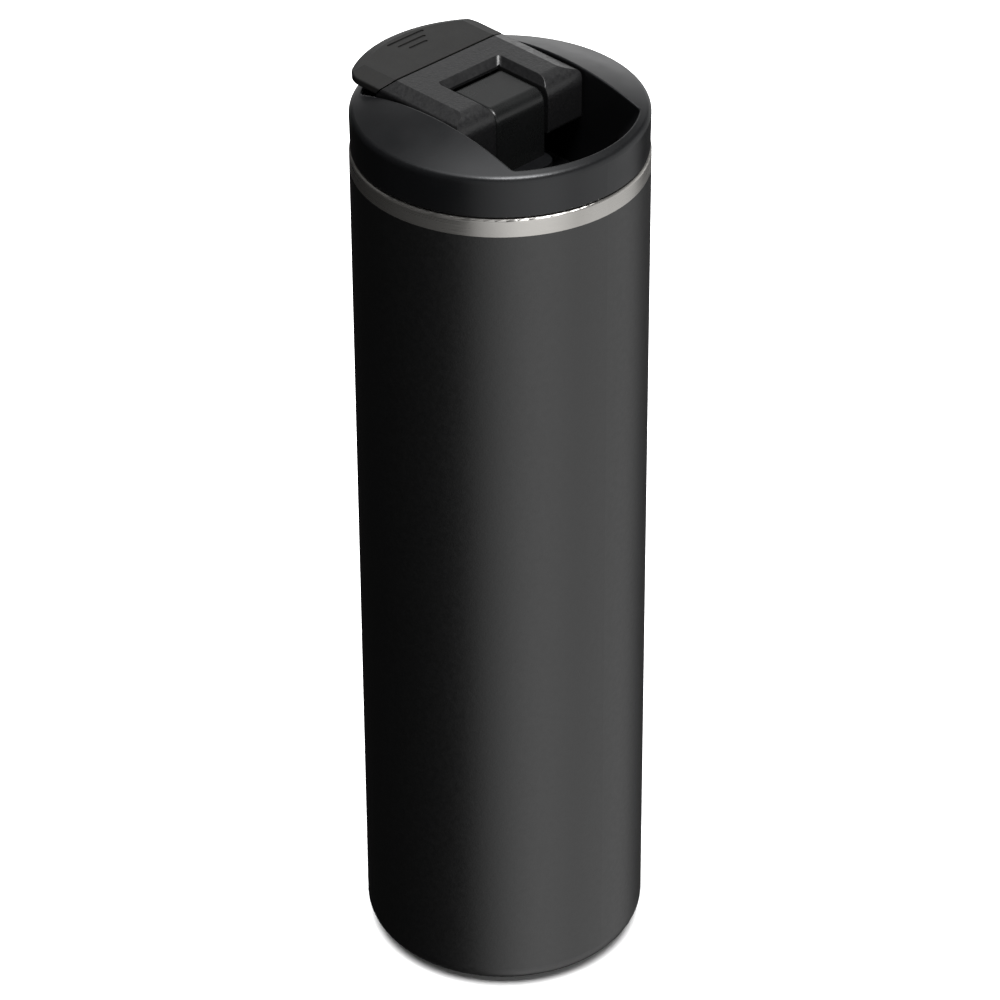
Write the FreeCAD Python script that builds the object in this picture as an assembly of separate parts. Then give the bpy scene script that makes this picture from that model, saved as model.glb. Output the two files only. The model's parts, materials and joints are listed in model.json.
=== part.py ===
"""Insulated travel mug: a vacuum-walled steel bottle with a plug-in lid and a flip flap.

Frame: +Z up, origin at the centre of the base, millimetres.
The flap lies along X: the drinking side is at -X and the hinge is towards +X, with its pin along Y.
"""
import FreeCAD, Part
import math
import os

V = FreeCAD.Vector
UP = V(0, 0, 1)
ACROSS = V(0, 1, 0)
NEAR = 0.01

# How far the cutting bodies run past the faces that they cut
EXTRA = 1.0

# Bottle
BODY_R = 36.5
SHELL_T = 0.6
FLASK_T = 0.5
FLASK_BORE_R = 33.2
PAINT_TOP = 227.4
COLLAR_TOP = 232.0
COLLAR_MOUTH_R = 34.3
COLLAR_MOUTH_H = 1.6
COLLAR_MOUTH_EDGE_R = 0.3
COLLAR_EDGE_R = 0.7
COLLAR_SLOPE_H = 3.2
BASE_CORNER_R = 5.4
FOOT_H = 0.8
FOOT_INNER_R = 25.2
FOOT_OUTER_R = 30.8
FOOT_EDGE_R = 0.3
BASE_PLATE_R = 27.0
BASE_RECESS_R = 24.4
BASE_RECESS_H = 1.6
BASE_RECESS_SLOPE = 0.6
BASE_SLOPE_SHIFT = 0.4
FLASK_FLOOR = 7.0
FLASK_CORNER_R = 7.0
GETTER_X = 10.0
GETTER_R = 7.0
GETTER_T = 1.2
SEAL_R = 3.0
SEAL_H = 1.0
SEAL_ROUND_R = 0.8

# Lid
LID_R = 36.45
LID_DRAFT = 0.25
LID_BOTTOM = 232.4
LID_BOTTOM_EDGE_R = 0.3
LID_WALL = 2.2
DOME_R = 94.0
DOME_TOP = 249.95
LID_EDGE_R = 1.8
LID_EDGE_TOP = 243.0
CHANNEL_HALF_W = 21.1
CHANNEL_END_R = 33.5
CHANNEL_END_TOP = 242.5
CHANNEL_FOOT_R = 28.4
CHANNEL_FOOT_Z = 233.0
CHANNEL_FOOT_X = 18.0
CHANNEL_CORNER_R = 1.8
CHANNEL_EDGE_R = 0.4
DECK_Z = 237.6
TUB_Z = 220.0
TUB_BACK_X = -10.0
TUB_WALL = 1.8
PLINTH_Z = 229.0
PLINTH_FRONT_X = 11.5
PLINTH_HALF_W = 8.6
PLINTH_CORNER_R = 4.0

PLUG_R = 32.3
PLUG_T = 1.8
PLUG_BOTTOM = 215.0
PLUG_EDGE_R = 0.6
PLUG_FLANGE_R = LID_R - LID_WALL
PLUG_FLANGE_T = 1.0
GROOVE_R = 31.5
GROOVE_Z = 225.0
GROOVE_H = 4.2
GASKET_BAND_R = 32.4
GASKET_LIP_R = 33.05
GASKET_LIP_ROOT_R = 31.8
GASKET_LIP_EDGE_R = 0.15
GASKET_LIPS = 3
GASKET_MARGIN = 0.1

# Drink hole and vent, both closed by the flap
SPOUT_X = -24.5
SPOUT_LENGTH = 13.0
SPOUT_WIDTH = 7.0
SPOUT_LIP_W = 1.6
SPOUT_LIP_TOP = 240.4
VENT_X = -14.0
VENT_R = 1.3
VENT_LIP_W = 1.2

# Flap
FLAP_TOP = 248.4
FLAP_PLATE_T = 2.6
FLAP_TAB_X = -18.6
FLAP_FRONT_X = 7.7
FLAP_BEND_R = 5.0
FLAP_HALF_W = 20.5
FLAP_FLAT_HALF_W = 16.3
FLAP_CHAMFER_H = 1.45
FLAP_EDGE_R = 0.9
FLAP_SKIRT_T = 2.2
FLAP_SKIRT_BOTTOM = 243.0
FRONT_CORNER_R = 0.8
HOLLOW_RUN_OUT = 2.0
ARM_INNER_Y = 8.7
ARM_BACK_X = -1.5
ARM_BOTTOM = 234.2
ARM_T = 2.2
ARM_EDGE_R = 1.2
HUB_R = 3.8
HUB_W = 4.6
WINDOW_X = -11.0
WINDOW_HALF_W = 10.3
WINDOW_BEVEL_L = 1.6
WINDOW_BEVEL_H = 1.85
WINDOW_CORNER_R = 1.1
WINDOW_EDGE_R = 0.25
WINDOW_LEDGE = 0.6
TAB_R = 33.0
TAB_CENTRE_X = -4.95
TAB_BOTTOM = 245.0
TAB_CORNER_R = 6.0
TAB_BEVEL_W = 3.2
TAB_BEVEL_H = 1.3
TAB_EDGE_R = 0.5
TAB_CHAMFER_STEP = 1.6
TAB_PARTING = 0.45
TAB_SEAM_LEAN = 2.9
TAB_SEAM_R = 0.25
GRIP_X = -28.4
GRIP_PITCH = 2.3
GRIP_LENGTHS = (6.0, 9.0, 12.0)
GRIP_W = 0.9
GRIP_DEPTH = 0.35
TAB_KEY_L = 4.0
TAB_KEY_HALF_W = 13.0
TAB_KEY_T = 0.8

# Hinge
PIVOT_X = 3.5
PIVOT_Z = 239.5
PIN_R = 1.5
PIN_CLEARANCE = 0.05
PIN_HALF_L = 13.0
PIN_CHAMFER = 0.3
BUSH_R = 2.5
BUSH_FLANGE_R = 3.2
BUSH_FLANGE_T = 0.6
BLOCK_BACK_X = -8.6
BLOCK_FRONT_X = 7.4
BLOCK_HALF_W = 8.3
BLOCK_TOP = 246.4
BLOCK_BEND_R = 3.6
BLOCK_BACK_R = 1.6
BLOCK_EDGE_R = 1.1
BLOCK_WALL = 2.0
BLOCK_ROOF_T = 3.0
GASKET_INSET = 0.9
BLOCK_GASKET_T = 0.6
WASHER_R = 2.8
WASHER_T = 0.3
WASHER_GAP = 0.05
SCREW_R = 1.4
SCREW_HEAD_R = 2.7
SCREW_HEAD_H = 1.7
SCREW_TIP_Z = 236.0
SCREW_BOSS_R = 2.6
SCREW_XS = (-4.6, 4.2)
SCREW_SLOT_W = 0.7
SCREW_SLOT_HALF_L = 1.6
SCREW_SLOT_DEPTH = 1.0

# Stoppers under the flap
CARRIER_T = 1.4
CARRIER_HALF_W = 9.0
CARRIER_FRONT_X = -29.5
CARRIER_BACK_X = -11.8
CARRIER_FRONT_R = 3.0
CARRIER_BACK_R = 1.0
CARRIER_POST_HALF_W = 6.0
STOPPER_LAP = 0.9
STOPPER_GAP = 0.1
STOPPER_NOSE_H = 1.2
STOPPER_NOSE_GAP = 0.9


def rounded_wire(corners, place):
    """A closed wire through (a, b, radius) corners; place(a, b) gives the point in space."""
    points = [V(a, b, 0) for a, b, _ in corners]
    count = len(corners)
    starts, ends, middles = [], [], []
    for i, (_, _, radius) in enumerate(corners):
        here = points[i]
        if not radius:
            starts.append(here)
            ends.append(here)
            middles.append(None)
            continue
        to_last = (points[i - 1] - here).normalize()
        to_next = (points[(i + 1) % count] - here).normalize()
        half = to_last.getAngle(to_next) / 2
        bisector = (to_last + to_next).normalize()
        reach = radius / math.tan(half)
        starts.append(here + to_last * reach)
        ends.append(here + to_next * reach)
        middles.append(here + bisector * (radius / math.sin(half) - radius))
    edges = []
    for i in range(count):
        if middles[i] is not None:
            arc = Part.Arc(*[place(p.x, p.y) for p in (starts[i], middles[i], ends[i])])
            edges.append(arc.toShape())
        first, second = ends[i], starts[(i + 1) % count]
        if (second - first).Length > 1e-6:
            edges.append(Part.makeLine(place(first.x, first.y), place(second.x, second.y)))
    return Part.Wire(edges)


def turned(corners):
    """A solid of revolution about Z from (radius, height, corner radius) points."""
    wire = rounded_wire(corners, lambda r, z: V(r, 0, z))
    return Part.Face(wire).revolve(V(0, 0, 0), UP, 360)


def side_prism(corners, y0, y1):
    """A prism along Y from (x, z, corner radius) points."""
    wire = rounded_wire(corners, lambda x, z: V(x, y0, z))
    return Part.Face(wire).extrude(ACROSS * (y1 - y0))


def plan_prism(corners, z0, z1):
    """A prism along Z from (x, y, corner radius) points."""
    wire = rounded_wire(corners, lambda x, y: V(x, y, z0))
    return Part.Face(wire).extrude(UP * (z1 - z0))


def front_prism(corners, x0, x1):
    """A prism along X from (y, z, corner radius) points."""
    wire = rounded_wire(corners, lambda y, z: V(x0, y, z))
    return Part.Face(wire).extrude(V(x1 - x0, 0, 0))


def block(x0, x1, y0, y1, z0, z1):
    return Part.makeBox(x1 - x0, y1 - y0, z1 - z0, V(x0, y0, z0))


def rod(radius, x, z, y0, y1):
    """A cylinder along Y."""
    return Part.makeCylinder(radius, y1 - y0, V(x, y0, z), ACROSS)


def disc(radius, z0, z1, x=0, y=0):
    return Part.makeCylinder(radius, z1 - z0, V(x, y, z0))


def slot(length, width, z0, z1, x):
    """A prism with round ends, long in Y, centred on (x, 0)."""
    dx, dy, r = width / 2, length / 2, width / 2 - 0.01
    return plan_prism([(x - dx, -dy, r), (x + dx, -dy, r), (x + dx, dy, r), (x - dx, dy, r)], z0, z1)


def mirrored(shape):
    """The shape and its mirror image across the XZ plane, as one compound."""
    return Part.makeCompound([shape, shape.mirror(V(0, 0, 0), ACROSS)])


# ---------------------------------------------------------------- bottle

def outer_shell():
    inner_r = BODY_R - SHELL_T
    floor = FOOT_H + SHELL_T
    return turned([
        (BODY_R, PAINT_TOP, 0), (BODY_R, FOOT_H, BASE_CORNER_R), (BASE_PLATE_R, FOOT_H, 0),
        (BASE_PLATE_R, floor, 0), (inner_r, floor, BASE_CORNER_R - SHELL_T), (inner_r, PAINT_TOP, 0)])


def inner_flask():
    outside = FLASK_BORE_R + FLASK_T
    weld_in = BODY_R - SHELL_T
    under = FLASK_FLOOR - FLASK_T
    return turned([
        (0, FLASK_FLOOR, 0), (FLASK_BORE_R, FLASK_FLOOR, FLASK_CORNER_R),
        (FLASK_BORE_R, COLLAR_TOP - COLLAR_MOUTH_H, 0), (COLLAR_MOUTH_R, COLLAR_TOP, COLLAR_MOUTH_EDGE_R),
        (BODY_R, COLLAR_TOP, COLLAR_EDGE_R), (BODY_R, PAINT_TOP, 0), (weld_in, PAINT_TOP, 0),
        (outside, PAINT_TOP - COLLAR_SLOPE_H, 0), (outside, under, FLASK_CORNER_R + FLASK_T), (0, under, 0)])


def base_plate():
    low = FOOT_H
    high = FOOT_H + BASE_RECESS_H
    slope_foot_r = BASE_RECESS_R + BASE_RECESS_SLOPE
    return turned([
        (0, high, 0), (BASE_RECESS_R, high, 0), (slope_foot_r, low, 0), (BASE_PLATE_R, low, 0),
        (BASE_PLATE_R, low + SHELL_T, 0), (slope_foot_r + BASE_SLOPE_SHIFT, low + SHELL_T, 0),
        (BASE_RECESS_R + BASE_SLOPE_SHIFT, high + SHELL_T, 0), (0, high + SHELL_T, 0)])


def foot_ring():
    return turned([
        (FOOT_INNER_R, 0, FOOT_EDGE_R), (FOOT_OUTER_R, 0, FOOT_EDGE_R), (FOOT_OUTER_R, FOOT_H, 0),
        (FOOT_INNER_R, FOOT_H, 0)])


def getter():
    top = FLASK_FLOOR - FLASK_T
    return disc(GETTER_R, top - GETTER_T, top, x=GETTER_X)


def vacuum_seal():
    under = FOOT_H + BASE_RECESS_H
    low = under - SEAL_H
    return turned([(0, low, 0), (SEAL_R, low, SEAL_ROUND_R), (SEAL_R, under, 0), (0, under, 0)])


# ---------------------------------------------------------------- lid

def channel_ends(grow):
    """The space inside the channel's two end walls, which slope in towards the plug."""
    low = TUB_Z - grow - EXTRA
    high = DOME_TOP + EXTRA
    foot_r = CHANNEL_FOOT_R + grow
    end_r = CHANNEL_END_R + grow
    return turned([
        (0, low, 0), (foot_r, low, 0), (foot_r, CHANNEL_FOOT_Z, 0), (end_r, CHANNEL_END_TOP, 0),
        (end_r, high, 0), (0, high, 0)])


def channel_space(grow):
    """The open space of the channel, grown by a wall thickness for the outside of its tub."""
    half_w = CHANNEL_HALF_W + grow
    top = DOME_TOP + EXTRA
    across = block(-BODY_R, BODY_R, -half_w, half_w, DECK_Z - grow, top)
    tub = block(TUB_BACK_X - grow, BODY_R, -half_w, half_w, TUB_Z - grow, top)
    space = across.fuse(tub).common(channel_ends(grow)).removeSplitter()
    corners = []
    for edge in space.Edges:
        middle = edge.CenterOfMass
        on_side = abs(abs(middle.y) - half_w) < NEAR
        if on_side and abs(middle.x) > CHANNEL_FOOT_X and edge.BoundBox.ZLength > CHANNEL_CORNER_R:
            corners.append(edge)
    return space.makeFillet(CHANNEL_CORNER_R + grow, corners)


def plinth(inset, top):
    """The raised floor that the hinge block stands on, or the hollow under it."""
    back = TUB_BACK_X - EXTRA * (inset == 0)
    half_w = PLINTH_HALF_W - inset
    front = PLINTH_FRONT_X - inset
    corner = PLINTH_CORNER_R - inset
    return plan_prism([
        (back, -half_w, 0), (front, -half_w, corner), (front, half_w, corner), (back, half_w, 0)],
        TUB_Z - TUB_WALL - inset, top)


def dome(drop):
    """Everything under the lid's domed top, lowered by drop."""
    return Part.makeSphere(DOME_R, V(0, 0, DOME_TOP - DOME_R - drop))


def lid_cap():
    """The lid's outside, with a rounded rim."""
    cap = turned([
        (0, LID_BOTTOM, 0), (LID_R - LID_DRAFT, LID_BOTTOM, LID_BOTTOM_EDGE_R), (LID_R, DOME_TOP, 0),
        (0, DOME_TOP, 0)])
    cap = cap.common(dome(0))
    rim = [e for e in cap.Edges if e.BoundBox.ZMin > DECK_Z and e.BoundBox.XLength > 2 * LID_R - EXTRA]
    return cap.makeFillet(LID_EDGE_R, rim)


def lid_holes():
    """The drink hole, the vent and the two screw holes."""
    low = DECK_Z - TUB_WALL - EXTRA
    holes = [slot(SPOUT_LENGTH, SPOUT_WIDTH, low, DOME_TOP, SPOUT_X), disc(VENT_R, low, DOME_TOP, x=VENT_X)]
    for x in SCREW_XS:
        holes.append(disc(SCREW_R, PLINTH_Z - TUB_WALL - EXTRA, PLINTH_Z + EXTRA, x=x))
    return holes


def channel_rim(body):
    """The edges where the channel's walls meet the lid's top."""
    found = []
    for edge in body.Edges:
        box = edge.BoundBox
        corner = edge.Vertexes[0]
        at_channel = math.hypot(corner.X, corner.Y) < CHANNEL_END_R + EXTRA
        if at_channel and box.ZMin > LID_EDGE_TOP and box.XLength + box.YLength > CHANNEL_EDGE_R:
            found.append(edge)
    return found


def lid_shell():
    hollow = disc(LID_R - LID_WALL, LID_BOTTOM - EXTRA, DOME_TOP).common(dome(LID_WALL))
    tub = channel_space(TUB_WALL).common(dome(LID_WALL / 2))
    body = lid_cap().cut(hollow).fuse(tub).cut(channel_space(0))
    spout_lip = slot(SPOUT_LENGTH + 2 * SPOUT_LIP_W, SPOUT_WIDTH + 2 * SPOUT_LIP_W, DECK_Z - EXTRA,
                     SPOUT_LIP_TOP, SPOUT_X)
    vent_lip = disc(VENT_R + VENT_LIP_W, DECK_Z - EXTRA, SPOUT_LIP_TOP, x=VENT_X)
    body = body.fuse([spout_lip, vent_lip, plinth(0, PLINTH_Z)])
    body = body.cut([plinth(TUB_WALL, PLINTH_Z - TUB_WALL)] + lid_holes()).removeSplitter()
    return body.makeFillet(CHANNEL_EDGE_R, channel_rim(body))


def lid_plug():
    inside = PLUG_R - PLUG_T
    flange_top = LID_BOTTOM + PLUG_FLANGE_T
    groove_top = GROOVE_Z + GROOVE_H
    return turned([
        (inside, PLUG_BOTTOM, 0), (PLUG_R, PLUG_BOTTOM, PLUG_EDGE_R), (PLUG_R, GROOVE_Z, 0),
        (GROOVE_R, GROOVE_Z, 0), (GROOVE_R, groove_top, 0), (PLUG_R, groove_top, 0), (PLUG_R, LID_BOTTOM, 0),
        (PLUG_FLANGE_R, LID_BOTTOM, 0), (PLUG_FLANGE_R, flange_top, 0), (inside, flange_top, 0)])


def lid_gasket():
    """A band in the plug's groove with soft lips round it."""
    top = GROOVE_Z + GROOVE_H
    body = turned([
        (GROOVE_R, GROOVE_Z, 0), (GASKET_BAND_R, GROOVE_Z, 0), (GASKET_BAND_R, top, 0), (GROOVE_R, top, 0)])
    pitch = GROOVE_H / GASKET_LIPS
    for i in range(GASKET_LIPS):
        foot = GROOVE_Z + i * pitch + GASKET_MARGIN
        lip = turned([
            (GASKET_LIP_ROOT_R, foot, 0), (GASKET_LIP_R, foot + pitch / 2, GASKET_LIP_EDGE_R),
            (GASKET_LIP_ROOT_R, foot + pitch - 2 * GASKET_MARGIN, 0)])
        body = body.fuse(lip)
    return body.removeSplitter()


# ---------------------------------------------------------------- hinge

def block_foot(inset, z0, z1):
    """A prism with the hinge block's outline in plan, drawn in by inset."""
    half_w = BLOCK_HALF_W - inset
    back = BLOCK_BACK_X + inset
    front = BLOCK_FRONT_X - inset
    return plan_prism([
        (back, -half_w, BLOCK_EDGE_R), (front, -half_w, BLOCK_EDGE_R), (front, half_w, BLOCK_EDGE_R),
        (back, half_w, BLOCK_EDGE_R)], z0, z1)


def hinge_block():
    outer = side_prism([
        (BLOCK_BACK_X, PLINTH_Z, 0), (BLOCK_FRONT_X, PLINTH_Z, 0), (BLOCK_FRONT_X, BLOCK_TOP, BLOCK_BEND_R),
        (BLOCK_BACK_X, BLOCK_TOP, BLOCK_BACK_R)], -BLOCK_HALF_W, BLOCK_HALF_W)
    sides = []
    for edge in outer.Edges:
        on_side = abs(abs(edge.CenterOfMass.y) - BLOCK_HALF_W) < NEAR
        if on_side and edge.BoundBox.ZMax > PLINTH_Z + EXTRA:
            sides.append(edge)
    outer = outer.makeFillet(BLOCK_EDGE_R, sides)
    low = PLINTH_Z - EXTRA
    wall = BLOCK_WALL
    inside = block(BLOCK_BACK_X + wall, BLOCK_FRONT_X - wall, wall - BLOCK_HALF_W, BLOCK_HALF_W - wall,
                   low, BLOCK_TOP - BLOCK_ROOF_T)
    bores = [rod(PIN_R, PIVOT_X, PIVOT_Z, -BLOCK_HALF_W - EXTRA, BLOCK_HALF_W + EXTRA)]
    for x in SCREW_XS:
        inside = inside.cut(disc(SCREW_BOSS_R, low, SCREW_TIP_Z + EXTRA, x=x))
        bores.append(disc(SCREW_R, low, SCREW_TIP_Z, x=x))
    seat = block_foot(GASKET_INSET, low, PLINTH_Z + BLOCK_GASKET_T)
    return outer.cut([inside, seat] + bores)


def block_gasket():
    """The flat seal under the block, set in its foot."""
    pad = block_foot(GASKET_INSET, PLINTH_Z, PLINTH_Z + BLOCK_GASKET_T)
    return pad.cut([disc(SCREW_R, PLINTH_Z - EXTRA, PLINTH_Z + EXTRA, x=x) for x in SCREW_XS])


def block_screws():
    under = PLINTH_Z - TUB_WALL
    low = under - SCREW_HEAD_H
    high = low + SCREW_SLOT_DEPTH
    half_w, half_l = SCREW_SLOT_W / 2, SCREW_SLOT_HALF_L
    screws = []
    for x in SCREW_XS:
        screw = disc(SCREW_HEAD_R, low, under, x=x).fuse(disc(SCREW_R, under, SCREW_TIP_Z, x=x))
        cross = [block(x - half_l, x + half_l, -half_w, half_w, low, high),
                 block(x - half_w, x + half_w, -half_l, half_l, low, high)]
        screws.append(screw.cut(cross))
    return Part.makeCompound(screws)


def hinge_pin():
    pin = rod(PIN_R, PIVOT_X, PIVOT_Z, -PIN_HALF_L, PIN_HALF_L)
    return pin.makeChamfer(PIN_CHAMFER, [e for e in pin.Edges if e.BoundBox.YLength < NEAR])


def hinge_washers():
    y0 = BLOCK_HALF_W + WASHER_GAP
    ring = rod(WASHER_R, PIVOT_X, PIVOT_Z, y0, y0 + WASHER_T)
    return mirrored(ring.cut(rod(PIN_R, PIVOT_X, PIVOT_Z, y0 - EXTRA, y0 + EXTRA)))


def bush_space():
    """One bush without its bore: also the seat for it in the arm."""
    y0 = ARM_INNER_Y
    sleeve = rod(BUSH_R, PIVOT_X, PIVOT_Z, y0, y0 + HUB_W)
    return sleeve.fuse(rod(BUSH_FLANGE_R, PIVOT_X, PIVOT_Z, y0, y0 + BUSH_FLANGE_T))


def hinge_bushes():
    y0 = ARM_INNER_Y
    bore = rod(PIN_R + PIN_CLEARANCE, PIVOT_X, PIVOT_Z, y0 - EXTRA, y0 + HUB_W + EXTRA)
    return mirrored(bush_space().cut(bore))


# ---------------------------------------------------------------- flap

def seam(offset):
    """The leaning joint between frame and tab, seen from the side: its top and bottom points."""
    top_x = FLAP_TAB_X - offset
    return [(top_x, FLAP_TOP, 0), (top_x - TAB_SEAM_LEAN, TAB_BOTTOM, 0)]


def flap_outline():
    """The flap frame's side view: leaning end, flat top, round bend, arms."""
    top, foot = seam(0)
    return [
        top, (FLAP_FRONT_X, FLAP_TOP, FLAP_BEND_R), (FLAP_FRONT_X, ARM_BOTTOM, ARM_EDGE_R),
        (ARM_BACK_X, ARM_BOTTOM, ARM_EDGE_R), (ARM_BACK_X, FLAP_SKIRT_BOTTOM, 0),
        (foot[0], FLAP_SKIRT_BOTTOM, 0), foot]


def flap_hollow():
    """The side view of the hollow in each arm and its shoulder, open underneath."""
    wall = FLAP_PLATE_T
    low = FLAP_SKIRT_BOTTOM - HOLLOW_RUN_OUT
    back_x = ARM_BACK_X - HOLLOW_RUN_OUT
    front_x = FLAP_FRONT_X - wall
    return [
        (FLAP_TAB_X + wall, FLAP_TOP - wall, 0), (front_x, FLAP_TOP - wall, FLAP_BEND_R - wall),
        (front_x, ARM_BOTTOM - HOLLOW_RUN_OUT, 0), (back_x, ARM_BOTTOM - HOLLOW_RUN_OUT, 0),
        (back_x, low, 0), (FLAP_TAB_X + wall, low, 0)]


def flap_section(x0, x1, edge_r):
    """The flap's cross section along Y: flat on top, with a wide shallow chamfer at each side."""
    shoulder = FLAP_TOP - FLAP_CHAMFER_H
    low = ARM_BOTTOM - EXTRA
    return front_prism([
        (-FLAP_HALF_W, low, 0), (FLAP_HALF_W, low, 0), (FLAP_HALF_W, shoulder, edge_r),
        (FLAP_FLAT_HALF_W, FLAP_TOP, 0), (-FLAP_FLAT_HALF_W, FLAP_TOP, 0),
        (-FLAP_HALF_W, shoulder, edge_r)], x0, x1)


def flap_plan():
    """The flap frame seen from above: a strip whose front corners are rounded."""
    half_w = FLAP_HALF_W
    return plan_prism([
        (-TAB_R, -half_w, 0), (FLAP_FRONT_X, -half_w, FRONT_CORNER_R),
        (FLAP_FRONT_X, half_w, FRONT_CORNER_R), (-TAB_R, half_w, 0)],
        ARM_BOTTOM - EXTRA, FLAP_TOP + EXTRA)


def window_wire(share, z):
    """The window's outline at one height, share of the way down its bevel; it runs out past the bend."""
    back = WINDOW_X + share * WINDOW_BEVEL_L
    half_w = WINDOW_HALF_W - share * (WINDOW_HALF_W - ARM_INNER_Y)
    front = FLAP_FRONT_X + FLAP_BEND_R
    return rounded_wire([
        (back, -half_w, WINDOW_CORNER_R), (front, -half_w, 0), (front, half_w, 0),
        (back, half_w, WINDOW_CORNER_R)], lambda x, y: V(x, y, z))


def flap_window():
    """The window's bevelled opening and the straight gap between the arms."""
    low = ARM_BOTTOM - EXTRA
    high = FLAP_TOP + EXTRA
    gap = block(WINDOW_X + WINDOW_BEVEL_L, FLAP_FRONT_X + EXTRA, -ARM_INNER_Y, ARM_INNER_Y, low, high)
    bevel = Part.makeLoft([window_wire(1, FLAP_TOP - WINDOW_BEVEL_H), window_wire(0, FLAP_TOP),
                           window_wire(0, high)], True, True)
    return [gap, bevel]


def window_edges(body):
    """The edges round the window, and those along the arms' inner corners down to the pin."""
    found = []
    for edge in body.Edges:
        box = edge.BoundBox
        reach = max(abs(box.YMin), abs(box.YMax))
        inside = reach < WINDOW_HALF_W + NEAR and box.XMin > WINDOW_X - NEAR
        on_top = box.ZMin > FLAP_TOP - NEAR
        past_bend = box.XMax > FLAP_FRONT_X - FLAP_BEND_R + 10 * NEAR
        on_arm = box.ZMin > ARM_BOTTOM + EXTRA and past_bend and box.XLength > 10 * NEAR
        if inside and (on_top or on_arm):
            found.append(edge)
    return found


def flap_hollows():
    """Everything that is hollow under the flap's plate."""
    cheek = ARM_INNER_Y + ARM_T
    under = FLAP_TOP - FLAP_PLATE_T
    side = side_prism(flap_hollow(), cheek, FLAP_HALF_W - FLAP_SKIRT_T)
    middle = block(FLAP_TAB_X + FLAP_PLATE_T, WINDOW_X - WINDOW_LEDGE, -cheek - NEAR, cheek + NEAR,
                   ARM_BOTTOM, under)
    behind = block(WINDOW_X - EXTRA, WINDOW_X + WINDOW_BEVEL_L + EXTRA, -ARM_INNER_Y, ARM_INNER_Y,
                   ARM_BOTTOM, under)
    return [mirrored(side), middle, behind]


def flap_frame():
    body = side_prism(flap_outline(), -FLAP_HALF_W, FLAP_HALF_W)
    body = body.common(flap_section(-TAB_R, FLAP_FRONT_X + EXTRA, FLAP_EDGE_R)).common(flap_plan())
    body = body.cut(flap_window())
    body = body.makeFillet(WINDOW_EDGE_R, window_edges(body))
    body = body.cut(flap_hollows())
    hub = rod(HUB_R, PIVOT_X, PIVOT_Z, ARM_INNER_Y, ARM_INNER_Y + HUB_W)
    body = body.fuse([hub, hub.mirror(V(0, 0, 0), ACROSS)])
    return body.cut([mirrored(bush_space()), tab_key()]).removeSplitter()


def tab_key():
    """The tongue that anchors the soft tab under the frame's plate."""
    z1 = FLAP_TOP - FLAP_PLATE_T
    return block(FLAP_TAB_X - TAB_SEAM_LEAN, FLAP_TAB_X + TAB_KEY_L, -TAB_KEY_HALF_W, TAB_KEY_HALF_W,
                 z1 - TAB_KEY_T, z1)


def grip_grooves():
    """Three short grooves across the tab, for the thumb."""
    grooves = []
    for i, length in enumerate(GRIP_LENGTHS):
        x = GRIP_X - i * GRIP_PITCH
        grooves.append(slot(length, GRIP_W, FLAP_TOP - GRIP_DEPTH, FLAP_TOP + EXTRA, x))
    return grooves


def tab_plan():
    """The soft tab seen from above: a wide arc with rounded corners."""
    far_x = TAB_CENTRE_X - TAB_R - EXTRA
    plan = disc(TAB_R, TAB_BOTTOM, FLAP_TOP, x=TAB_CENTRE_X)
    plan = plan.common(block(far_x, 0, -FLAP_HALF_W, FLAP_HALF_W, TAB_BOTTOM, FLAP_TOP))
    corners = [e for e in plan.Edges if e.BoundBox.ZLength > EXTRA and e.CenterOfMass.x < FLAP_TAB_X]
    return plan.makeFillet(TAB_CORNER_R, corners)


def tab_rim(body):
    """The tab's outer edges above and below its side wall, away from the seam."""
    found = []
    for edge in body.Edges:
        box = edge.BoundBox
        outside = edge.CenterOfMass.x < FLAP_TAB_X - TAB_SEAM_LEAN - TAB_PARTING - 10 * NEAR
        if outside and box.ZLength < TAB_CHAMFER_STEP and box.ZMax < FLAP_TOP - TAB_BEVEL_H + 10 * NEAR:
            found.append(edge)
    return found


def flap_tab():
    far_x = TAB_CENTRE_X - TAB_R - EXTRA
    top, foot = seam(TAB_PARTING)
    strip = side_prism([top, foot, (far_x, TAB_BOTTOM, 0), (far_x, FLAP_TOP, 0)], -FLAP_HALF_W, FLAP_HALF_W)
    bevel_low = FLAP_TOP - TAB_BEVEL_H
    bevel = turned([
        (0, TAB_BOTTOM - EXTRA, 0), (TAB_R, TAB_BOTTOM - EXTRA, 0), (TAB_R, bevel_low, 0),
        (TAB_R - TAB_BEVEL_W, FLAP_TOP, 0), (0, FLAP_TOP, 0)])
    bevel.translate(V(TAB_CENTRE_X, 0, 0))
    body = strip.common(tab_plan()).common(flap_section(far_x, 0, 0)).common(bevel).removeSplitter()
    body = body.makeFillet(TAB_EDGE_R, tab_rim(body))
    ends = [e for e in body.Edges if abs(e.BoundBox.XMax - top[0]) < NEAR and e.BoundBox.XLength < NEAR]
    body = body.makeFillet(TAB_SEAM_R, ends)
    return body.cut(grip_grooves()).fuse(tab_key().cut(strip)).removeSplitter()


def stopper_carrier():
    """The hard plate pressed under the flap, which holds both stoppers."""
    top = FLAP_SKIRT_BOTTOM
    half_w, post_half_w = CARRIER_HALF_W, CARRIER_POST_HALF_W
    plate = plan_prism([
        (CARRIER_FRONT_X, -half_w, CARRIER_FRONT_R), (CARRIER_BACK_X, -half_w, CARRIER_BACK_R),
        (CARRIER_BACK_X, half_w, CARRIER_BACK_R), (CARRIER_FRONT_X, half_w, CARRIER_FRONT_R)],
        top - CARRIER_T, top)
    post = block(FLAP_TAB_X + TAB_KEY_L, CARRIER_BACK_X, -post_half_w, post_half_w, top,
                 FLAP_TOP - FLAP_PLATE_T)
    return plate.fuse(post)


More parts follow.
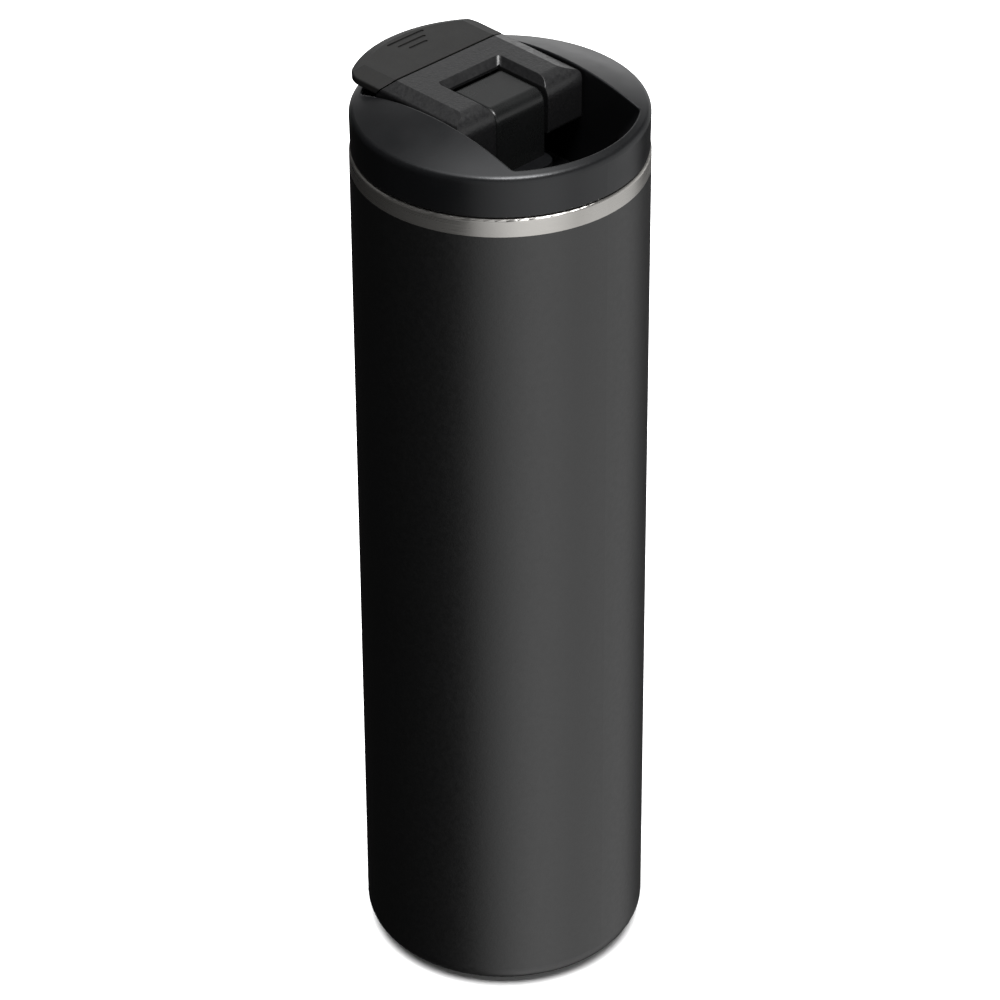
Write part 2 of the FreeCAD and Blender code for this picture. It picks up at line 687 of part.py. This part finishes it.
def spout_stopper():
    """A soft pad over the drink hole's raised lip, with a nose that dips into the hole."""
    top = FLAP_SKIRT_BOTTOM - CARRIER_T
    low = SPOUT_LIP_TOP + STOPPER_GAP
    pad_grow = 2 * SPOUT_LIP_W + STOPPER_LAP
    nose_grow = -2 * STOPPER_NOSE_GAP
    pad = slot(SPOUT_LENGTH + pad_grow, SPOUT_WIDTH + pad_grow, low, top, SPOUT_X)
    nose = slot(SPOUT_LENGTH + nose_grow, SPOUT_WIDTH + nose_grow, low - STOPPER_NOSE_H, low, SPOUT_X)
    return pad.fuse(nose)


def vent_stopper():
    top = FLAP_SKIRT_BOTTOM - CARRIER_T
    return disc(VENT_R + STOPPER_LAP, SPOUT_LIP_TOP + STOPPER_GAP, top, x=VENT_X)


NODES = {
    "outer_shell": outer_shell,
    "inner_flask": inner_flask,
    "base_plate": base_plate,
    "foot_ring": foot_ring,
    "getter": getter,
    "vacuum_seal": vacuum_seal,
    "lid_shell": lid_shell,
    "lid_plug": lid_plug,
    "lid_gasket": lid_gasket,
    "hinge_block": hinge_block,
    "block_gasket": block_gasket,
    "block_screws": block_screws,
    "hinge_pin": hinge_pin,
    "hinge_washers": hinge_washers,
    "hinge_bushes": hinge_bushes,
    "flap_frame": flap_frame,
    "flap_tab": flap_tab,
    "stopper_carrier": stopper_carrier,
    "spout_stopper": spout_stopper,
    "vent_stopper": vent_stopper,
}

os.makedirs("parts", exist_ok=True)
for name, make in NODES.items():
    shape = make()
    shape.exportStep("parts/" + name + ".step")
    print(name, "solids", len(shape.Solids), "valid", shape.isValid(), "volume", round(shape.Volume, 1))
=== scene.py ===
"""The looks of the insulated travel mug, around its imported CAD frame. Metres, row frame, +Z up."""
import json
import math

import bpy
from mathutils import Matrix, Vector


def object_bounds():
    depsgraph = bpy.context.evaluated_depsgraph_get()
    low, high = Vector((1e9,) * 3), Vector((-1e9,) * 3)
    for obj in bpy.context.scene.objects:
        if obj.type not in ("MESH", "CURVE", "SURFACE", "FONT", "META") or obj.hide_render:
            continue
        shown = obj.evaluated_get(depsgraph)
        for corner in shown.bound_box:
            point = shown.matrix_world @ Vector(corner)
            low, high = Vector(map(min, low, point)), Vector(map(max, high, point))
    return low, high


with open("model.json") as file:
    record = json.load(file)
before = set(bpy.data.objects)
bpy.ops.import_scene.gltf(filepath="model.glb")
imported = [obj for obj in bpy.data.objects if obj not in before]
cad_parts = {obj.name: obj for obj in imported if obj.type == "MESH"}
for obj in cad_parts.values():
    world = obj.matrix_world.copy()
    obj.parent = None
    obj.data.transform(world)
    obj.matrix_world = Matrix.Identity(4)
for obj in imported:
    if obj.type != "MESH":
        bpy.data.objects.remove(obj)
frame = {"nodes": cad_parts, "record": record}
CAD_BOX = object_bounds()
NODES = frame["nodes"]
SCENE = bpy.context.scene

# Camera: where it stands, seen from the mug's axis, and where it looks
CAMERA_HEADING = math.radians(46.0)
CAMERA_OUT = 0.9679
CAMERA_HEIGHT = 0.7728
CAMERA_TURN = math.radians(0.034)
CAMERA_PITCH = math.radians(33.622)
CAMERA_ROLL = math.radians(-0.344)
CAMERA_LENS = 165.34
CAMERA_SENSOR = 36.0
CAMERA_FAR = 30.0

# The studio's walls, each with its middle bearing, half width, lowest and highest elevation, half its soft
# edge's width (all in degrees) and its brightness. Bearings are counted from the camera's side of the mug,
# towards the picture's right.
WALLS = (
    ("right", 17, 40, -95, 25, 3, 0.32),
    ("right_glow", 31, 30, -95, 25, 27, 0.78),
    ("far_right", 95, 31, -95, 25, 12, 0.73),
    ("back", 177, 21, -5, 36, 8, 0.64),
    ("horizon", 172, 34, -22, 10, 7, 0.52),
    ("ring", 180, 66, 30, 58, 8, 0.12),
    ("ceiling", 0, 200, 62, 95, 7, 1.6),
    ("back_top", 176, 30, 66, 82, 6, 0.75),
)
ROOM_LEVEL = 0.01

# The two soft boxes: bearing and elevation in degrees, distance and side in metres, power in watts
TOP_BOX = (25, 72, 1.3, 0.42, 14)
FLOOR_BOX = (0, 88, 2.5, 3.0, 240)
FLOOR_HALF = 6.0

# Where a noise's useful range of values starts and ends
NOISE_LOW = 0.3
NOISE_HIGH = 0.7
RANGE_SOCKETS = ("From Min", "From Max", "To Min", "To Max")


# ------------------------------------------------------------------ materials

class Look:
    """One procedural material, built up around its Principled shader."""

    def __init__(self, name, roughness, specular=0.5, metallic=0.0):
        self.material = bpy.data.materials.new(name)
        self.material.use_nodes = True
        self.tree = self.material.node_tree
        self.shader = self.tree.nodes["Principled BSDF"]
        self.shader.inputs["Roughness"].default_value = roughness
        self.shader.inputs["Specular IOR Level"].default_value = specular
        self.shader.inputs["Metallic"].default_value = metallic
        self.coords = self.node("ShaderNodeTexCoord").outputs["Object"]

    def node(self, kind, **settings):
        made = self.tree.nodes.new(kind)
        for key, value in settings.items():
            setattr(made, key, value)
        return made

    def link(self, source, target):
        self.tree.links.new(source, target)

    def stretched(self, scale):
        """Object coordinates scaled by (x, y, z)."""
        mapping = self.node("ShaderNodeMapping")
        mapping.inputs["Scale"].default_value = scale
        self.link(self.coords, mapping.inputs["Vector"])
        return mapping.outputs["Vector"]

    def noise(self, scale, detail=2.0, roughness=0.5, coords=None):
        """A noise of 0 to 1; scale is in waves per metre."""
        made = self.node("ShaderNodeTexNoise")
        made.inputs["Scale"].default_value = scale
        made.inputs["Detail"].default_value = detail
        made.inputs["Roughness"].default_value = roughness
        self.link(coords or self.coords, made.inputs["Vector"])
        return made.outputs["Fac"]

    def spread(self, value, low, high, out_low, out_high):
        made = self.node("ShaderNodeMapRange")
        for key, number in zip(RANGE_SOCKETS, (low, high, out_low, out_high)):
            made.inputs[key].default_value = number
        self.link(value, made.inputs["Value"])
        return made.outputs["Result"]

    def colours(self, value, dark, light):
        """The base colour runs from dark to light as a noise goes over its useful range."""
        ramp = self.node("ShaderNodeValToRGB")
        ramp.color_ramp.elements[0].position = NOISE_LOW
        ramp.color_ramp.elements[1].position = NOISE_HIGH
        ramp.color_ramp.elements[0].color = (*dark, 1)
        ramp.color_ramp.elements[1].color = (*light, 1)
        self.link(value, ramp.inputs["Fac"])
        self.link(ramp.outputs["Color"], self.shader.inputs["Base Color"])

    def rough(self, value, low, high):
        self.link(self.spread(value, NOISE_LOW, NOISE_HIGH, low, high), self.shader.inputs["Roughness"])

    def bump(self, value, height, strength=1.0, under=None):
        """A bump whose full height is in metres; under is a bump below it."""
        made = self.node("ShaderNodeBump")
        made.inputs["Distance"].default_value = height
        made.inputs["Strength"].default_value = strength
        self.link(value, made.inputs["Height"])
        if under is not None:
            self.link(under, made.inputs["Normal"])
        self.link(made.outputs["Normal"], self.shader.inputs["Normal"])
        return made.outputs["Normal"]


def powder_coat():
    look = Look("powder_coat", 0.4, 0.85)
    grain = look.noise(2600, 3.0, 0.55)
    peel = look.noise(700, 2.0)
    look.colours(grain, (0.003, 0.0031, 0.0033), (0.0065, 0.0066, 0.0068))
    look.rough(peel, 0.37, 0.43)
    under = look.bump(peel, 0.00002)
    look.bump(grain, 0.000018, 1.0, under)
    return look.material


def brushed_steel():
    look = Look("brushed_steel", 0.3, 0.5, 0.88)
    lines = look.noise(1, 4.0, 0.7, look.stretched((45, 45, 5200)))
    drift = look.noise(38, 2.0)
    look.colours(drift, (0.50, 0.485, 0.46), (0.62, 0.605, 0.58))
    look.rough(lines, 0.24, 0.42)
    look.bump(lines, 0.000006)
    look.shader.inputs["Anisotropic"].default_value = 0.7
    look.shader.inputs["Anisotropic Rotation"].default_value = 0.25
    return look.material


def plain_steel():
    look = Look("plain_steel", 0.35, 0.5, 1.0)
    spots = look.noise(900, 3.0)
    look.colours(spots, (0.44, 0.44, 0.43), (0.55, 0.55, 0.54))
    look.rough(spots, 0.28, 0.44)
    look.bump(spots, 0.000008)
    return look.material


def getter_metal():
    look = Look("getter_metal", 0.8, 0.4, 0.6)
    grain = look.noise(3200, 4.0, 0.7)
    look.colours(grain, (0.2, 0.2, 0.205), (0.36, 0.36, 0.37))
    look.bump(grain, 0.00005)
    return look.material


def moulded(name, dark, light, roughness, grain_scale, grain_height, specular=0.5, tint=(1, 1, 1)):
    """A moulded plastic or rubber: even colour, a fine grain and a slow drift of gloss."""
    look = Look(name, roughness, specular)
    look.shader.inputs["Specular Tint"].default_value = (*tint, 1)
    grain = look.noise(grain_scale, 3.0, 0.6)
    drift = look.noise(120, 2.0)
    look.colours(grain, dark, light)
    look.rough(drift, roughness - 0.04, roughness + 0.04)
    look.bump(grain, grain_height)
    return look.material


def spark_eroded(name, dark, light, roughness):
    """A plastic with a spark-eroded texture: shallow round pits, with a finer grain over them."""
    look = Look(name, roughness, 0.55)
    cells = look.node("ShaderNodeTexVoronoi", feature="SMOOTH_F1")
    cells.inputs["Scale"].default_value = 1500
    cells.inputs["Smoothness"].default_value = 0.6
    look.link(look.coords, cells.inputs["Vector"])
    grain = look.noise(3600, 3.0, 0.6)
    look.colours(grain, dark, light)
    look.rough(look.noise(900, 2.0), roughness - 0.07, roughness + 0.07)
    pits = look.bump(cells.outputs["Distance"], 0.000035)
    look.bump(grain, 0.000016, 1.0, pits)
    return look.material


MATERIALS = {
    "powder_coat": powder_coat(),
    "brushed_steel": brushed_steel(),
    "plain_steel": plain_steel(),
    "getter_metal": getter_metal(),
    "lid_plastic": moulded("lid_plastic", (0.0054, 0.0056, 0.0062), (0.007, 0.0073, 0.008), 0.32,
                           2400, 0.000006, tint=(0.97, 0.98, 1.0)),
    "flap_plastic": spark_eroded("flap_plastic", (0.0095, 0.0095, 0.01), (0.0135, 0.0135, 0.0142), 0.35),
    "block_plastic": moulded("block_plastic", (0.008, 0.0084, 0.0084), (0.0105, 0.011, 0.0112), 0.28,
                             1800, 0.000004, 0.4),
    "tab_rubber": moulded("tab_rubber", (0.013, 0.0129, 0.0125), (0.018, 0.0178, 0.0172), 0.6,
                          2200, 0.00001, 0.42),
    "plug_plastic": moulded("plug_plastic", (0.016, 0.016, 0.0165), (0.021, 0.021, 0.0215), 0.45,
                            2400, 0.000008),
    "bush_plastic": moulded("bush_plastic", (0.008, 0.008, 0.0085), (0.012, 0.012, 0.0125), 0.5,
                            1500, 0.000004),
    "silicone": moulded("silicone", (0.13, 0.135, 0.14), (0.17, 0.175, 0.18), 0.55,
                        1700, 0.000006),
    "foot_silicone": moulded("foot_silicone", (0.014, 0.014, 0.014), (0.02, 0.02, 0.02), 0.7,
                             2000, 0.00001),
}

for part in frame["record"]["subparts"]:
    mesh = NODES[part["node"]].data
    mesh.materials.clear()
    mesh.materials.append(MATERIALS[part["material_slot"]])


# ------------------------------------------------------------------ stage, lights and camera

def floor_material():
    look = Look("floor_paper", 0.9, 0.1)
    grain = look.noise(60, 3.0)
    look.colours(grain, (0.86, 0.86, 0.86), (0.88, 0.88, 0.88))
    look.bump(look.noise(900, 2.0), 0.00002)
    return look.material


def collection_of(name, *objects):
    made = bpy.data.collections.new(name)
    for one in objects:
        made.objects.link(one)
    return made


def make_floor():
    half = FLOOR_HALF
    mesh = bpy.data.meshes.new("floor")
    corners = [(-half, -half, 0), (half, -half, 0), (half, half, 0), (-half, half, 0)]
    mesh.from_pydata(corners, [], [(0, 1, 2, 3)])
    mesh.materials.append(floor_material())
    floor = bpy.data.objects.new("floor", mesh)
    SCENE.collection.objects.link(floor)
    return floor


FLOOR = make_floor()
MIDDLE = (Vector(CAD_BOX[0]) + Vector(CAD_BOX[1])) / 2


def soft_box(name, settings, receivers):
    """A square soft box aimed at the mug's middle, which lights only the receivers."""
    bearing, elevation, distance, side, power = settings
    data = bpy.data.lights.new(name, "AREA")
    data.shape = "SQUARE"
    data.size = side
    data.energy = power
    light = bpy.data.objects.new(name, data)
    heading = CAMERA_HEADING + math.radians(bearing)
    level = distance * math.cos(math.radians(elevation))
    rise = distance * math.sin(math.radians(elevation))
    light.location = MIDDLE + Vector((math.sin(heading) * level, -math.cos(heading) * level, rise))
    light.rotation_euler = (light.location - MIDDLE).to_track_quat("Z", "Y").to_euler()
    light.light_linking.receiver_collection = receivers
    SCENE.collection.objects.link(light)


def studio_world():
    """A dark room with the bright walls of WALLS."""
    world = bpy.data.worlds.new("studio")
    world.use_nodes = True
    tree = world.node_tree

    def wire(value, socket):
        if isinstance(value, (int, float)):
            socket.default_value = value
        else:
            tree.links.new(value, socket)

    def sum_up(operation, first, second=0.0):
        made = tree.nodes.new("ShaderNodeMath")
        made.operation = operation
        wire(first, made.inputs[0])
        wire(second, made.inputs[1])
        return made.outputs[0]

    def step(value, start, end):
        """0 up to start and 1 from end on, eased between them; start may be the larger."""
        made = tree.nodes.new("ShaderNodeMapRange")
        made.interpolation_type = "SMOOTHSTEP"
        low, high = min(start, end), max(start, end)
        outs = (0.0, 1.0) if end > start else (1.0, 0.0)
        for key, number in zip(RANGE_SOCKETS, (low, high, *outs)):
            made.inputs[key].default_value = number
        tree.links.new(value, made.inputs["Value"])
        return made.outputs["Result"]

    towards = tree.nodes.new("ShaderNodeTexCoord").outputs["Generated"]
    level = ROOM_LEVEL
    for _, bearing, half, low, high, edge, brightness in WALLS:
        half, low, high, edge = (math.radians(angle) for angle in (half, low, high, edge))
        turned = tree.nodes.new("ShaderNodeMapping")
        turned.inputs["Rotation"].default_value = (0, 0, -(CAMERA_HEADING + math.radians(bearing)))
        tree.links.new(towards, turned.inputs["Vector"])
        split = tree.nodes.new("ShaderNodeSeparateXYZ")
        tree.links.new(turned.outputs["Vector"], split.inputs["Vector"])
        towards_camera = sum_up("MULTIPLY", split.outputs["Y"], -1.0)
        aside = sum_up("ABSOLUTE", sum_up("ARCTAN2", split.outputs["X"], towards_camera))
        height = sum_up("ARCSINE", split.outputs["Z"])
        above = step(height, low - edge, low + edge)
        below = step(height, high + edge, high - edge)
        within = step(aside, half + edge, half - edge)
        share = sum_up("MULTIPLY", within, sum_up("MULTIPLY", above, below))
        level = sum_up("ADD", sum_up("MULTIPLY", share, brightness), level)
    tree.nodes["Background"].inputs["Color"].default_value = (1, 1, 1, 1)
    tree.links.new(level, tree.nodes["Background"].inputs["Strength"])
    SCENE.world = world


def make_lights():
    on_mug = collection_of("lit_mug", *NODES.values())
    on_floor = collection_of("lit_floor", FLOOR)
    soft_box("top_box", TOP_BOX, on_mug)
    soft_box("floor_box", FLOOR_BOX, on_floor)
    FLOOR.visible_diffuse = False
    FLOOR.visible_glossy = False
    FLOOR.visible_shadow = False
    studio_world()


def make_camera():
    data = bpy.data.cameras.new("camera")
    data.lens = CAMERA_LENS
    data.sensor_width = CAMERA_SENSOR
    data.clip_end = CAMERA_FAR
    camera = bpy.data.objects.new("camera", data)
    place = Vector((math.sin(CAMERA_HEADING), -math.cos(CAMERA_HEADING), 0)) * CAMERA_OUT
    place.z = CAMERA_HEIGHT
    turn = Matrix.Rotation(CAMERA_HEADING + CAMERA_TURN, 4, "Z")
    tilt = Matrix.Rotation(math.pi / 2 - CAMERA_PITCH, 4, "X")
    roll = Matrix.Rotation(CAMERA_ROLL, 4, "Z")
    camera.matrix_world = Matrix.Translation(place) @ turn @ tilt @ roll
    SCENE.collection.objects.link(camera)
    SCENE.camera = camera


make_lights()
make_camera()
SCENE.view_settings.view_transform = "Standard"
